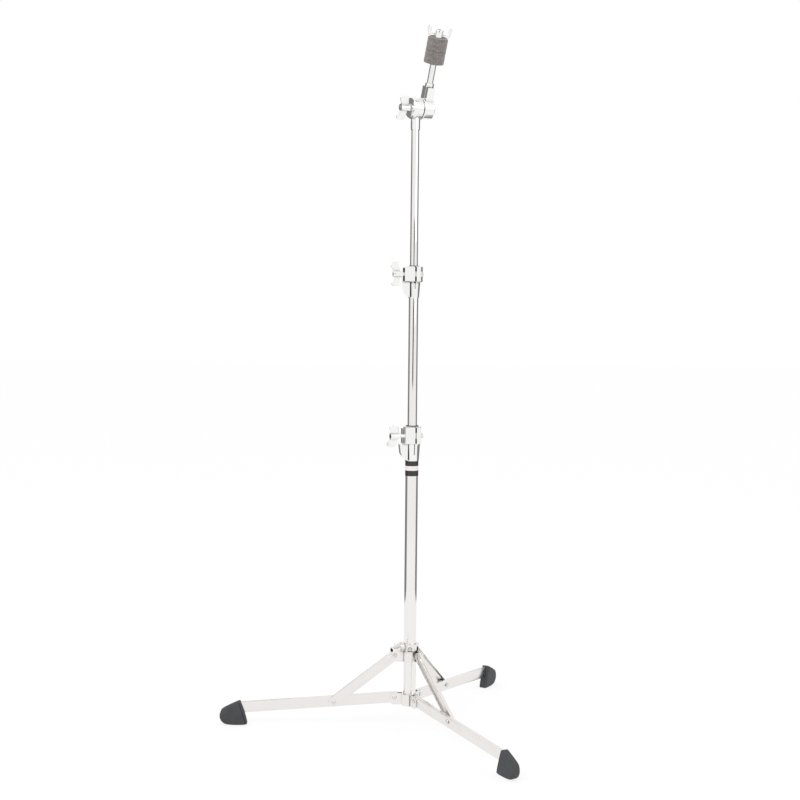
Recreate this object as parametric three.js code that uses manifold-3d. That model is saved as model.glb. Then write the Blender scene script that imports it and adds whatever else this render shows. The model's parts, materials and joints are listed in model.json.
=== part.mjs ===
import * as THREE from 'three';
import { mergeVertices } from 'three/addons/utils/BufferGeometryUtils.js';
import Module from 'manifold-3d';

const wasm = await Module();
wasm.setup();

// Straight cymbal stand with a flat tripod base. Millimetres, floor at height 0, mast on the Z axis.

// Tubes
const lowerTubeRadius = 12.7;
const middleTubeRadius = 9.525;
const topTubeRadius = 7.95;
const lowerTubeWall = 1.2;
const tubeWall = 1;

// Heights along the mast
const legPivotHeight = 59.5;
const hubAbovePivot = 8.5;
const hubBelowPivot = 14.5;
const hubTop = legPivotHeight + hubAbovePivot;
const hubBottom = legPivotHeight - hubBelowPivot;
const lowerClampSizes = {
  junction: 575, funnel: 34, collar: 35, gusset: 30, slotHalf: 0.75, slotDepth: 22, neck: 10,
};
const upperClampSizes = {
  junction: 896, funnel: 31, collar: 31, gusset: 25, slotHalf: 1.8, slotDepth: 13, neck: 3,
};
const lowerClamp = clampHeights(lowerClampSizes);
const upperClamp = clampHeights(upperClampSizes);
const middleTubeBottom = 343;
const topTubeBottom = 643;
const tilterHeight = 1236;
const socketDrop = 43;
const bandHeight = 30;

// Folding base
const pivotRadius = 30.2;
const legToRivet = 123;
const braceLength = 156.4;
const legDroop = 4.4;
const footRadius = 355;
const legSpan = 21.5;
const braceSpan = 20;
const stripWidth = 6;
const legSheet = 1.5;
const lugSheet = 2;
const bootWidth = 16;

// Head
const tilterRadius = 21;
const rodLean = 20;
const rodOffset = 21.5;
const rodRadius = 6.35;
const threadRadius = 4;
const feltRadius = 20;
const feltHeight = 24.7;
const feltSeat = 90;

// Directions in degrees, counted from the X axis towards the Y axis
const legAzimuths = { a: 180, b: -60, c: 60 };
const panelAzimuths = [-120, 0, 120];
const notchAzimuths = [-90, -30, 30, 90, 150];
const clampTurn = { lower: 18, upper: 9 };
const tilterTurn = 29;
const collarScrewAzimuth = 222;
const wingRoll = { lower: -25, upper: 15, collar: -40, tilter: -25 };

// Fits
const seatGap = 0.3;
const slideGap = 0.15;
const overrun = 1;
const weldDistance = 0.0001;

// Numbers of flat sides
const tubeSides = 32;
const bodySides = 36;
const pinSides = 16;
const rodSides = 24;
const nutSides = 6;
const arcSteps = 6;

const degree = Math.PI / 180;
const quarterTurn = Math.PI / 2;

// A clamp's funnel hangs below the joint of its two tubes and its collar stands above it.
function clampHeights(sizes) {
  const { junction, funnel, collar } = sizes;
  return { ...sizes, bottom: junction - funnel, top: junction + collar };
}

// Geometry helpers

function solid(geometry) {
  const bare = geometry.clone();
  bare.deleteAttribute('normal');
  bare.deleteAttribute('uv');
  const welded = mergeVertices(bare, weldDistance);
  const corners = welded.index.array;
  const kept = [];
  for (let i = 0; i < corners.length; i += 3) {
    const [p, q, r] = corners.slice(i, i + 3);
    if (p !== q && q !== r && r !== p) kept.push(p, q, r);
  }
  return new wasm.Manifold(new wasm.Mesh({
    numProp: 3,
    vertProperties: new Float32Array(welded.attributes.position.array),
    triVerts: new Uint32Array(kept),
  }));
}

function geometryOf(body) {
  const mesh = body.getMesh();
  const geometry = new THREE.BufferGeometry();
  geometry.setAttribute('position', new THREE.BufferAttribute(mesh.vertProperties, 3));
  geometry.setIndex(new THREE.BufferAttribute(mesh.triVerts, 1));
  return geometry;
}

function joined(first, ...others) {
  return geometryOf(others.reduce((body, other) => body.add(solid(other)), solid(first)));
}

function cut(first, ...tools) {
  return geometryOf(tools.reduce((body, tool) => body.subtract(solid(tool)), solid(first)));
}

// Solid of revolution about Z; the profile lists [radius, height] corners counter-clockwise.
function turned(profile, sides) {
  const points = profile.map(([radius, height]) => new THREE.Vector2(radius, height));
  const closed = profile[0][0] === 0 ? points : [...points, points[0].clone()];
  return new THREE.LatheGeometry(closed, sides).rotateX(quarterTurn);
}

function ring(inner, outer, bottom, top, sides = tubeSides) {
  return turned([[inner, bottom], [outer, bottom], [outer, top], [inner, top]], sides);
}

function rod(radius, bottom, top, sides = pinSides) {
  return turned([[0, bottom], [radius, bottom], [radius, top], [0, top]], sides);
}

// Block between two corners
function block([x0, y0, z0], [x1, y1, z1]) {
  const box = new THREE.BoxGeometry(x1 - x0, y1 - y0, z1 - z0);
  return box.translate((x0 + x1) / 2, (y0 + y1) / 2, (z0 + z1) / 2);
}

// Flat outline [x, y] given thickness from one height to another
function slab(outline, bottom, top) {
  const shape = new THREE.Shape(outline.map(([x, y]) => new THREE.Vector2(x, y)));
  const plate = new THREE.ExtrudeGeometry(shape, { depth: top - bottom, bevelEnabled: false });
  return plate.translate(0, 0, bottom);
}

// Corners of an arc, angles in degrees
function arc([x, y], radius, from, to, steps = arcSteps) {
  return Array.from({ length: steps + 1 }, (_, i) => {
    const angle = (from + ((to - from) * i) / steps) * degree;
    return [x + radius * Math.cos(angle), y + radius * Math.sin(angle)];
  });
}

// Strip with round ends between two centres on the X axis
function strip(from, to, halfWidth) {
  return [...arc([to, 0], halfWidth, -90, 90), ...arc([from, 0], halfWidth, 90, 270)];
}

// A shape drawn in [outward, up] and thickened sideways is stood upright and faced to an azimuth.
function stood(geometry, azimuth) {
  return geometry.rotateX(quarterTurn).rotateZ(azimuth * degree);
}

// A shape turned about Z is laid over so that its top points to an azimuth, after a roll about its axis.
function laid(geometry, azimuth, roll = 0) {
  return geometry.rotateZ(roll * degree).rotateY(quarterTurn).rotateZ(azimuth * degree);
}

// Finishes

function finish(color, roughness, metalness) {
  return () => new THREE.MeshStandardMaterial({ color, roughness, metalness });
}

const chrome = finish('#d5d7da', 0.12, 1);
const castMetal = finish('#c9cbce', 0.25, 1);
const rubber = finish('#2f3033', 0.75, 0);
const blackPlastic = finish('#1d1e20', 0.45, 0);
const greyPlastic = finish('#55575b', 0.5, 0);
const felt = finish('#26272a', 0.95, 0);
const print = finish('#141416', 0.35, 0);

const group = new THREE.Group();

function place(name, geometry, material) {
  const mesh = new THREE.Mesh(geometry, material());
  mesh.name = name;
  group.add(mesh);
}

// Mast tubes

function tube(radius, wall, bottom, top) {
  return ring(radius - wall, radius, bottom, top);
}

const tubeEndInset = 2;
const lowerTubeBottom = hubBottom + tubeEndInset;
const lowerTubeTop = lowerClamp.junction - tubeEndInset;
const middleTubeTop = upperClamp.junction - tubeEndInset;
const topTubeTop = tilterHeight - tilterRadius - seatGap;
place('lower_tube', tube(lowerTubeRadius, lowerTubeWall, lowerTubeBottom, lowerTubeTop), chrome);
place('middle_tube', tube(middleTubeRadius, tubeWall, middleTubeBottom, middleTubeTop), chrome);
place('top_tube', tube(topTubeRadius, tubeWall, topTubeBottom, topTubeTop), chrome);

const plugFlange = 2;
const plugLength = 14;

function endPlug() {
  const stub = lowerTubeRadius - lowerTubeWall - seatGap;
  const seat = lowerTubeBottom - seatGap;
  return turned([
    [0, seat - plugFlange],
    [lowerTubeRadius, seat - plugFlange],
    [lowerTubeRadius, seat],
    [stub, seat],
    [stub, seat + plugLength],
    [0, seat + plugLength],
  ], tubeSides);
}
place('tube_end_plug', endPlug(), blackPlastic);

const bandSheet = 0.4;

function printedBand() {
  const inner = lowerTubeRadius + slideGap;
  return ring(inner, inner + bandSheet, lowerClamp.bottom - seatGap - bandHeight, lowerClamp.bottom - seatGap);
}
place('printed_band', printedBand(), print);

// Leg hub: a sleeve, three pressed panels and three pairs of lugs

const hubWall = 2.4;
const panelHalf = 8.5;
const lugReach = 8.5;
const lugCorner = 6;
const legHalf = legSpan / 2;
const shankRadius = 3;

function lugOutline(inner, outer, bottom, top) {
  return [
    [inner, bottom],
    ...arc([outer - lugCorner, bottom + lugCorner], lugCorner, -90, 0, 4),
    ...arc([outer - lugCorner, top - lugCorner], lugCorner, 0, 90, 4),
    [inner, top],
  ];
}

function legHub() {
  const inner = lowerTubeRadius + seatGap;
  const outer = inner + hubWall;
  const outline = lugOutline(inner, pivotRadius + lugReach, hubBottom, hubTop);
  const holes = [];
  let body = ring(inner - overrun, outer, hubBottom, hubTop);
  for (const azimuth of panelAzimuths) {
    const panel = block([inner, -panelHalf, hubBottom], [outer + hubWall / 2, panelHalf, hubTop]);
    body = joined(body, panel.rotateZ(azimuth * degree));
  }
  for (const azimuth of Object.values(legAzimuths)) {
    const near = slab(outline, -seatGap - lugSheet, -seatGap);
    const far = slab(outline, stripWidth + seatGap, stripWidth + seatGap + lugSheet);
    body = joined(body, stood(near, azimuth), stood(far, azimuth));
    const hole = rod(shankRadius + seatGap, -panelHalf, panelHalf + stripWidth);
    holes.push(stood(hole.translate(pivotRadius, legPivotHeight, 0), azimuth));
  }
  const bore = rod(inner, hubBottom - overrun, hubTop + overrun, tubeSides);
  return cut(body, bore, ...holes);
}
place('leg_hub', legHub(), chrome);

// Rivets: a domed head, a shank and a smaller formed tail, drawn along Z

const rivetHead = 4.8;
const rivetDome = 2.2;
const tailRadius = 4.2;
const tailDome = 1.4;

const domeShares = [[1, 0], [0.88, 0.4], [0.5, 0.85], [0, 1]];

// Corners of a domed head from its seat to its crown; a negative rise faces down.
function dome(radius, seat, rise) {
  return domeShares.map(([reach, height]) => [radius * reach, seat + rise * height]);
}

function rivet(headSeat, tailSeat) {
  return turned([
    ...dome(rivetHead, headSeat, -rivetDome).reverse(),
    [shankRadius, headSeat],
    [shankRadius, tailSeat],
    ...dome(tailRadius, tailSeat, tailDome),
  ], pinSides);
}

// Folding geometry. At rest the leg droops below level by legDroop.

const rivetOut = legToRivet * Math.cos(legDroop * degree);
const rivetRadius = pivotRadius + rivetOut;
const rivetHeight = legPivotHeight - legToRivet * Math.sin(legDroop * degree);
const bracePivotHeight = rivetHeight + Math.sqrt(braceLength ** 2 - rivetOut ** 2);
const braceTilt = Math.asin(rivetOut / braceLength) / degree;

// Legs: inverted channels, web on top, lying from the leg's line towards +thickness

const bootInset = 11;
const legLength = (footRadius - bootInset - pivotRadius) / Math.cos(legDroop * degree);

function legChannel() {
  const outline = [
    ...arc([0, 0], legHalf, 90, 270),
    [legLength, -legHalf],
    [legLength, legHalf],
  ];
  const pocket = block(
    [-legSpan, -legSpan, legSheet],
    [legLength + overrun, legHalf - legSheet, stripWidth - legSheet],
  );
  const pivotHole = rod(shankRadius + slideGap, -overrun, stripWidth + overrun);
  const rivetHole = rod(shankRadius + seatGap, -overrun, stripWidth + overrun).translate(legToRivet, 0, 0);
  return cut(slab(outline, 0, stripWidth), pocket, pivotHole, rivetHole);
}

// From a leg's own line to the standing leg
function drooped(geometry, azimuth) {
  const tilted = geometry.rotateZ(-legDroop * degree).translate(pivotRadius, legPivotHeight, 0);
  return stood(tilted, azimuth);
}

// Rubber boots: shares of the reach past the leg's end and of the height

const bootReach = 28.6;
const bootHeight = 48.8;
const bootShares = [
  [-0.91, 0],
  [0.49, 0],
  [0.84, 0.13],
  [0.97, 0.27],
  [1, 0.41],
  [0.94, 0.55],
  [0.8, 0.68],
  [-0.31, 0.99],
  [-0.42, 1],
  [-0.51, 0.97],
  [-0.98, 0.1],
];

function boot(azimuth) {
  const side = (bootWidth - stripWidth) / 2;
  const outline = bootShares.map(([reach, rise]) => [footRadius + bootReach * reach, bootHeight * rise]);
  const envelope = block(
    [-legHalf, -legHalf - seatGap, -seatGap],
    [legLength + seatGap, legHalf + seatGap, stripWidth + seatGap],
  );
  return cut(stood(slab(outline, -side, stripWidth + side), azimuth), drooped(envelope, azimuth));
}

// Braces: dished strips beside the legs, open side towards the leg

const braceFace = -seatGap - stripWidth;
const braceHalf = braceSpan / 2;

function braceStrip() {
  const dish = slab(
    strip(0, braceLength, braceHalf - legSheet),
    braceFace + legSheet,
    overrun - seatGap,
  );
  const pivotHole = rod(shankRadius + slideGap, braceFace - overrun, overrun);
  const rivetHole = rod(shankRadius + seatGap, braceFace - overrun, overrun).translate(braceLength, 0, 0);
  return cut(slab(strip(0, braceLength, braceHalf), braceFace, -seatGap), dish, pivotHole, rivetHole);
}

// From a brace's own line to the standing brace
function leaned(geometry, azimuth) {
  const tilted = geometry.rotateZ((braceTilt - 90) * degree);
  return stood(tilted.translate(pivotRadius, bracePivotHeight, 0), azimuth);
}

function atPoint(geometry, radius, height, azimuth) {
  return stood(geometry.translate(radius, height, 0), azimuth);
}

const dishTail = braceFace + legSheet + seatGap;
const lugFace = braceFace - seatGap - lugSheet;

function braceRivetHalf() {
  const seat = braceFace - seatGap;
  return turned([
    ...dome(rivetHead, seat, -rivetDome).reverse(),
    [shankRadius, seat],
    [shankRadius, -seatGap],
    [0, -seatGap],
  ], pinSides);
}

function legRivetHalf() {
  const seat = stripWidth + seatGap;
  return turned([
    [0, 0],
    [shankRadius, 0],
    [shankRadius, seat],
    ...dome(rivetHead, seat, rivetDome),
  ], pinSides);
}

for (const [letter, azimuth] of Object.entries(legAzimuths)) {
  const hubRivet = rivet(-seatGap - lugSheet - seatGap, stripWidth + seatGap + lugSheet + seatGap);
  place(`hub_rivet_${letter}`, atPoint(hubRivet, pivotRadius, legPivotHeight, azimuth), chrome);
  place(`leg_${letter}`, drooped(legChannel(), azimuth), chrome);
  place(`leg_rivet_${letter}`, atPoint(legRivetHalf(), rivetRadius, rivetHeight, azimuth), chrome);
  place(`foot_${letter}`, boot(azimuth), rubber);
  place(`brace_${letter}`, leaned(braceStrip(), azimuth), chrome);
  place(`brace_rivet_${letter}`, atPoint(braceRivetHalf(), rivetRadius, rivetHeight, azimuth), chrome);
  const collarRivet = rivet(lugFace - seatGap, dishTail);
  place(`collar_rivet_${letter}`, atPoint(collarRivet, pivotRadius, bracePivotHeight, azimuth), chrome);
}

// Sliding collar: sleeve, notched rim, one lug beside each brace, boss for the wing screw

const castEdge = 1;
const collarWall = 2.4;
const collarDrop = 12.8;
const rimRadius = 18;
const rimHeight = 14;
const sleeveRise = 9.8;
const notchHalf = 4.6;
const notchRise = 8.6;
const bossRadius = 6.4;
const bossEnd = 29;
const screwGap = 0.6;
const screwNeck = 0.5;

function collarBore() {
  return lowerTubeRadius + slideGap;
}

function braceCollar() {
  const bottom = bracePivotHeight - collarDrop;
  const rimBottom = bracePivotHeight + sleeveRise;
  const rimTop = rimBottom + rimHeight;
  const inner = collarBore();
  const outer = inner + collarWall;
  const lug = lugOutline(inner, pivotRadius + lugReach, bottom, rimBottom + overrun);
  const middle = (rimBottom + rimTop) / 2;
  let body = turned([
    [inner - overrun, bottom],
    [outer, bottom],
    [outer, rimBottom - castEdge],
    [rimRadius - castEdge, rimBottom],
    [rimRadius, rimBottom + castEdge],
    [rimRadius, rimTop - castEdge],
    [rimRadius - castEdge, rimTop],
    [inner - overrun, rimTop],
  ], bodySides);
  const boss = laid(rod(bossRadius, inner, bossEnd, pinSides), collarScrewAzimuth);
  body = joined(body, boss.translate(0, 0, middle));
  const tools = [];
  for (const azimuth of Object.values(legAzimuths)) {
    body = joined(body, stood(slab(lug, lugFace, lugFace + lugSheet), azimuth));
    const hole = rod(shankRadius + seatGap, lugFace - overrun, overrun);
    tools.push(atPoint(hole, pivotRadius, bracePivotHeight, azimuth));
  }
  for (const azimuth of notchAzimuths) {
    const notch = [
      [-notchHalf, -overrun],
      [notchHalf, -overrun],
      ...arc([0, notchRise - notchHalf], notchHalf, 0, 180),
    ];
    const tool = slab(notch, outer, rimRadius + overrun).rotateX(quarterTurn).rotateZ(quarterTurn);
    tools.push(tool.translate(0, 0, rimBottom + overrun).rotateZ(azimuth * degree));
  }
  const screwHole = laid(rod(shankRadius + seatGap, 0, bossEnd + overrun), collarScrewAzimuth);
  tools.push(screwHole.translate(0, 0, middle));
  tools.push(rod(inner, bottom - overrun, rimTop + overrun, tubeSides));
  return cut(body, ...tools);
}
place('brace_collar', braceCollar(), chrome);

// Wing screws and wing nuts, drawn along Z with the outer end up

const wingSheet = 3.2;

// Two wings from shares of their reach and rise
function wings(shares, reach, rise) {
  const outline = shares.map(([out, up]) => [reach * out, rise * up]);
  const right = slab(outline, -wingSheet / 2, wingSheet / 2).rotateX(quarterTurn);
  const left = right.clone().rotateZ(2 * quarterTurn);
  return [right, left];
}

const wingHub = { base: 5.8, outer: 6.6, length: 19.5, hollow: 4, hollowDepth: 5 };
const neckRadius = 3.6;
const wingReach = 25;
const wingRise = 24;
const wingShares = [
  [0.14, 0.12],
  [0.32, 0.12],
  [0.56, 0.17],
  [0.8, 0.21],
  [0.94, 0.29],
  [1, 0.46],
  [1, 0.75],
  [0.92, 0.94],
  [0.76, 1],
  [0.52, 0.92],
  [0.32, 0.8],
  [0.14, 0.75],
];

// The screw's neck stands on its seat at height 0 and the shank runs down from there.
function wingScrewBody(shankLength, neck) {
  const { base, outer, length, hollow, hollowDepth } = wingHub;
  const core = turned([
    [0, -shankLength],
    [shankRadius, -shankLength],
    [shankRadius, 0],
    [neckRadius, 0],
    [neckRadius, neck],
    [base, neck],
    [outer, neck + length],
    [0, neck + length],
  ], pinSides);
  const pair = wings(wingShares, wingReach, wingRise);
  const [right, left] = pair.map((wing) => wing.translate(0, 0, neck));
  const floor = neck + length - hollowDepth;
  return cut(joined(core, right, left), rod(hollow, floor, floor + length));
}

const screwShank = bossEnd + seatGap - lowerTubeRadius - screwGap;

function collarScrew() {
  const seat = bossEnd + seatGap;
  const height = bracePivotHeight + sleeveRise + rimHeight / 2;
  const screw = wingScrewBody(screwShank, screwNeck).translate(0, 0, seat);
  return laid(screw, collarScrewAzimuth, wingRoll.collar).translate(0, 0, height);
}
place('collar_wing_screw', collarScrew(), castMetal);

// Height clamps: split cast collar on a funnel, lug block and ear in front, gusset at the left

const clampRadius = 18;
const funnelFlare = 3.6;
const funnelLip = 1.4;
const clampChamfer = 1.2;
const lugLeft = -22;
const earRight = 10;
const lugFront = -24.5;
const lugBack = -13;
const lobeLeft = -24.5;
const lobeBack = -3;
const lobeMargin = 3;
const lugMargin = 1.5;
const slitHalf = 0.75;
const notchSlitHalf = 1.6;
const boltLine = -18;
const gussetShares = [[1, 0], [0.93, 0.5], [0.76, 0.78], [0.55, 0.93]];
const bushingLip = 1.4;
const nutRadius = 5.8;
const nutHeight = 5;
const boltTip = 2;

function clampBody(heights, tubeRadius, nylonRadius) {
  const { bottom, junction, top, gusset, slotHalf, slotDepth } = heights;
  const bore = tubeRadius + seatGap;
  const socket = nylonRadius + seatGap;
  const middle = (junction + top) / 2;
  const third = (top - junction) / 3;
  const shell = turned([
    [tubeRadius - overrun, bottom],
    [tubeRadius + funnelLip, bottom],
    [tubeRadius + funnelFlare, junction - castEdge],
    [clampRadius - castEdge, junction],
    [clampRadius, junction + castEdge],
    [clampRadius, top - clampChamfer],
    [clampRadius - clampChamfer, top],
    [tubeRadius - overrun, top],
  ], bodySides);
  const lugs = block(
    [lugLeft, lugFront, junction + lugMargin],
    [earRight, lugBack, top - lugMargin],
  );
  const lobe = block([lobeLeft, lugBack - overrun, junction], [0, lobeBack, top - lobeMargin]);
  const fin = gussetShares.map(([reach, drop]) => [-gusset * reach, junction - (junction - bottom) * drop]);
  const gussetFin = slab([
    ...fin,
    [-bore, bottom + overrun],
    [-bore, junction + lobeMargin],
    [lobeLeft, junction + lobeMargin],
  ], -lobeBack, -lugBack).rotateX(quarterTurn);
  const slot = block(
    [-slotHalf, -clampRadius - overrun, junction - slotDepth],
    [slotHalf, 0, junction + overrun],
  );
  const slit = block(
    [-slitHalf, lugFront - overrun, junction + lugMargin],
    [slitHalf, 0, top + overrun],
  );
  const upperNotch = block(
    [-notchSlitHalf, lugFront - overrun, top - third],
    [notchSlitHalf, boltLine, top + overrun],
  );
  const lowerNotch = block(
    [-notchSlitHalf, lugFront - overrun, junction],
    [notchSlitHalf, boltLine, junction + third],
  );
  const nutPocket = laid(rod(nutRadius + seatGap, earRight, earRight + clampRadius), 0);
  const boltHole = laid(rod(shankRadius + seatGap, lugLeft - overrun, earRight + overrun), 0);
  return cut(
    joined(shell, lugs, lobe, gussetFin),
    rod(bore, bottom - overrun, junction + overrun, tubeSides),
    rod(socket, junction, top + overrun, tubeSides),
    slot,
    slit,
    upperNotch,
    lowerNotch,
    boltHole.translate(0, boltLine, middle),
    nutPocket.translate(0, boltLine, middle),
  );
}

// Nylon bushing: a long sleeve inside the outer tube and a thicker head in the clamp
function bushing({ bottom, junction, top }, tubeRadius, wall, innerTubeRadius) {
  const bore = innerTubeRadius + slideGap;
  const sleeve = tubeRadius - wall - seatGap;
  return turned([
    [bore, bottom],
    [sleeve, bottom],
    [sleeve, junction - tubeEndInset + seatGap],
    [tubeRadius, junction - tubeEndInset + seatGap],
    [tubeRadius, top + bushingLip],
    [bore, top + bushingLip],
  ], tubeSides);
}

function hexNut() {
  return cut(rod(nutRadius, 0, nutHeight, nutSides), rod(shankRadius + seatGap, -overrun, nutHeight + overrun));
}

function placeClamp(name, heights, turn, tubeRadius, wall, innerTubeRadius, roll) {
  const middle = (heights.junction + heights.top) / 2;
  const body = clampBody(heights, tubeRadius, tubeRadius);
  place(`${name}_clamp_body`, body.rotateZ(turn * degree), castMetal);
  place(`${name}_clamp_bushing`, bushing(heights, tubeRadius, wall, innerTubeRadius), blackPlastic);
  const shank = earRight + nutHeight + boltTip - lugLeft;
  const screw = wingScrewBody(shank, heights.neck).translate(0, 0, seatGap - lugLeft);
  const laidScrew = laid(screw, 180, roll).translate(0, boltLine, middle);
  place(`${name}_clamp_wing_bolt`, laidScrew.rotateZ(turn * degree), castMetal);
  const nut = laid(hexNut().translate(0, 0, earRight + seatGap), 0).translate(0, boltLine, middle);
  place(`${name}_clamp_nut`, nut.rotateZ(turn * degree), chrome);
}
placeClamp('lower', lowerClamp, clampTurn.lower, lowerTubeRadius, lowerTubeWall, middleTubeRadius, wingRoll.lower);
placeClamp('upper', upperClamp, clampTurn.upper, middleTubeRadius, tubeWall, topTubeRadius, wingRoll.upper);

// Tilter, drawn with its hinge along X through the origin and then turned and lifted

const socketLeft = -12.6;
const socketRight = 9.3;
const discSheet = 1;
const discRadius = 19.6;
const armLeft = socketRight + seatGap + discSheet + seatGap;
const armRight = 33;
const stemRadius = 9.3;
const stemLip = 1;
const hingeRadius = 4;
const tilterChamfer = 1.6;
const neckHalf = 11.2;
const neckThick = 16;
const neckTop = 44;
const stepRadius = 8.75;
const stepTop = 52;
const rodSeat = 34;
const pinRadius = 1.5;
const pinLength = 8;
const pinAlong = 2.4;
const pinRise = 10;

function lifted(geometry) {
  return geometry.rotateZ(tilterTurn * degree).translate(0, 0, tilterHeight);
}

// Tip the upright arm and rod about the hinge
function tipped(geometry) {
  return lifted(geometry.rotateX(rodLean * degree));
}

function cheek(left, right) {
  return turned([
    [0, left],
    [tilterRadius - tilterChamfer, left],
    [tilterRadius, left + tilterChamfer],
    [tilterRadius, right - tilterChamfer],
    [tilterRadius - tilterChamfer, right],
    [0, right],
  ], bodySides).rotateY(quarterTurn);
}

function hingeBore() {
  return rod(hingeRadius + seatGap, socketLeft - overrun, armRight + overrun).rotateY(quarterTurn);
}

// Pin along the cheek's radius, near the front of the rim
function acrossPin(radius, outer, inner) {
  const pin = rod(radius, -outer, -inner, pinSides / 2).rotateX(-quarterTurn);
  return pin.rotateX(-pinRise * degree).translate(pinAlong, 0, 0);
}

function tilterSocket() {
  const bottom = -socketDrop;
  const stem = turned([
    [0, bottom],
    [stemRadius - stemLip, bottom],
    [stemRadius, bottom + stemLip],
    [stemRadius, 0],
    [0, 0],
  ], tubeSides);
  const tubeBore = rod(topTubeRadius + seatGap, bottom - overrun, -tilterRadius, tubeSides);
  const pinHole = acrossPin(pinRadius + seatGap, tilterRadius + overrun, tilterRadius - pinLength - seatGap);
  return lifted(cut(joined(cheek(socketLeft, socketRight), stem), hingeBore(), tubeBore, pinHole));
}
place('tilter_socket', tilterSocket(), castMetal);
place('tilter_pin', lifted(acrossPin(pinRadius, tilterRadius, tilterRadius - pinLength)), chrome);

function tilterArm() {
  const neckLeft = rodOffset - neckThick / 2;
  const neck = block([neckLeft, -neckHalf, 0], [neckLeft + neckThick, neckHalf, neckTop]);
  const step = rod(stepRadius, 0, stepTop, tubeSides).translate(rodOffset, 0, 0);
  const rodBore = rod(rodRadius + seatGap, rodSeat, stepTop + overrun, tubeSides).translate(rodOffset, 0, 0);
  return tipped(cut(joined(cheek(armLeft, armRight), neck, step), hingeBore(), rodBore));
}
place('tilter_arm', tilterArm(), castMetal);

function frictionDisc() {
  const disc = ring(hingeRadius + seatGap, discRadius, 0, discSheet, bodySides);
  return lifted(disc.rotateY(quarterTurn).translate(socketRight + seatGap, 0, 0));
}
place('tilter_friction_disc', frictionDisc(), greyPlastic);

const washerRadius = 8;
const washerSheet = 1.6;
const boltHeadRadius = 8;
const boltHeadHeight = 3;
const hingeNutDrop = 3;
const hingeTip = -31;

function tilterBolt() {
  const seat = armRight + seatGap;
  return lifted(turned([
    [0, hingeTip],
    [hingeRadius, hingeTip],
    [hingeRadius, seat],
    ...dome(boltHeadRadius, seat, boltHeadHeight),
  ], pinSides).rotateY(quarterTurn));
}
place('tilter_bolt', tilterBolt(), chrome);

function tilterWasher() {
  const washer = ring(hingeRadius + seatGap, washerRadius, 0, washerSheet, pinSides);
  return lifted(washer.rotateY(quarterTurn).translate(socketLeft - seatGap - washerSheet, 0, 0));
}
place('tilter_washer', tilterWasher(), chrome);

function tilterWingNut() {
  const { base, outer, length } = wingHub;
  const core = turned([
    [0, 0],
    [washerRadius - overrun, 0],
    [base, hingeNutDrop],
    [outer, length],
    [0, length],
  ], pinSides);
  const [right, left] = wings(wingShares, wingReach, wingRise);
  const nut = cut(joined(core, right, left), rod(hingeRadius + seatGap, -overrun, length + overrun));
  const seat = -(socketLeft - seatGap - washerSheet - seatGap);
  return lifted(laid(nut.translate(0, 0, seat), 180, wingRoll.tilter));
}
place('tilter_wing_nut', tilterWingNut(), castMetal);

// Cymbal rod and what is stacked on it, drawn along Z from the hinge

const rodShoulder = 88.1;
const rodTip = 147.5;
const sleeveWall = 1.6;
const sleeveFlange = 11;
const sleeveFlangeHeight = 1.3;
const feltEdge = 2.2;
const nutSeat = feltSeat + 2 * feltHeight + 2 * seatGap;

function onRod(geometry) {
  return tipped(geometry.translate(rodOffset, 0, 0));
}

function cymbalRod() {
  return turned([
    [0, rodSeat + seatGap],
    [rodRadius, rodSeat + seatGap],
    [rodRadius, rodShoulder],
    [threadRadius, rodShoulder],
    [threadRadius, rodTip - castEdge],
    [threadRadius - castEdge, rodTip],
    [0, rodTip],
  ], rodSides);
}
place('cymbal_rod', onRod(cymbalRod()), chrome);

const sleeveInner = threadRadius + seatGap;
const sleeveOuter = sleeveInner + sleeveWall;

function rodSleeve() {
  const bottom = rodShoulder + seatGap;
  const flangeTop = feltSeat - seatGap;
  return turned([
    [sleeveInner, bottom],
    [sleeveFlange, bottom],
    [sleeveFlange, flangeTop],
    [sleeveOuter, flangeTop],
    [sleeveOuter, nutSeat - seatGap],
    [sleeveInner, nutSeat - seatGap],
  ], rodSides);
}
place('rod_sleeve', onRod(rodSleeve()), blackPlastic);

function feltWasher(bottom) {
  const inner = sleeveOuter + seatGap;
  const top = bottom + feltHeight;
  return turned([
    [inner, bottom],
    [feltRadius - feltEdge, bottom],
    [feltRadius, bottom + feltEdge],
    [feltRadius, top - feltEdge],
    [feltRadius - feltEdge, top],
    [inner, top],
  ], bodySides);
}
place('lower_felt', onRod(feltWasher(feltSeat)), felt);
place('upper_felt', onRod(feltWasher(feltSeat + feltHeight + seatGap)), felt);

const cymbalNut = { hub: 7.6, length: 15 };
const cymbalWingReach = 24;
const cymbalWingRise = 21;
const cymbalWingShares = [
  [0.25, 0.06],
  [0.78, 0.06],
  [0.87, 0.2],
  [1, 0.84],
  [0.96, 1],
  [0.8, 1],
  [0.7, 0.84],
  [0.62, 0.42],
  [0.5, 0.32],
  [0.25, 0.38],
];

function cymbalWingNut() {
  const core = rod(cymbalNut.hub, 0, cymbalNut.length, rodSides);
  const [right, left] = wings(cymbalWingShares, cymbalWingReach, cymbalWingRise);
  const nut = cut(joined(core, right, left), rod(threadRadius + seatGap, -overrun, 2 * cymbalNut.length));
  return onRod(nut.rotateZ(-tilterTurn * degree).translate(0, 0, nutSeat));
}
place('cymbal_wing_nut', cymbalWingNut(), castMetal);

// Origin at the middle of the bounding box on the floor
const box = new THREE.Box3().setFromObject(group);
const middle = box.getCenter(new THREE.Vector3());
group.position.set(-middle.x, -middle.y, -box.min.z);

export default group;
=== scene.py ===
# %% [markdown]
# # A folding cymbal stand
# The frame is the finished model of the stand: every tube, rivet and clamp is
# already in its true place, in metres. This lesson dresses it. Parts whose shape
# is right keep their mesh and get a finish; rubber, felt, tubes and wing screws
# get a rounder surface of their own, laid exactly where the frame says.

# %% Load the frame
import json
import math

import bmesh
import bpy
import numpy as np
from mathutils import Matrix, Vector


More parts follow.
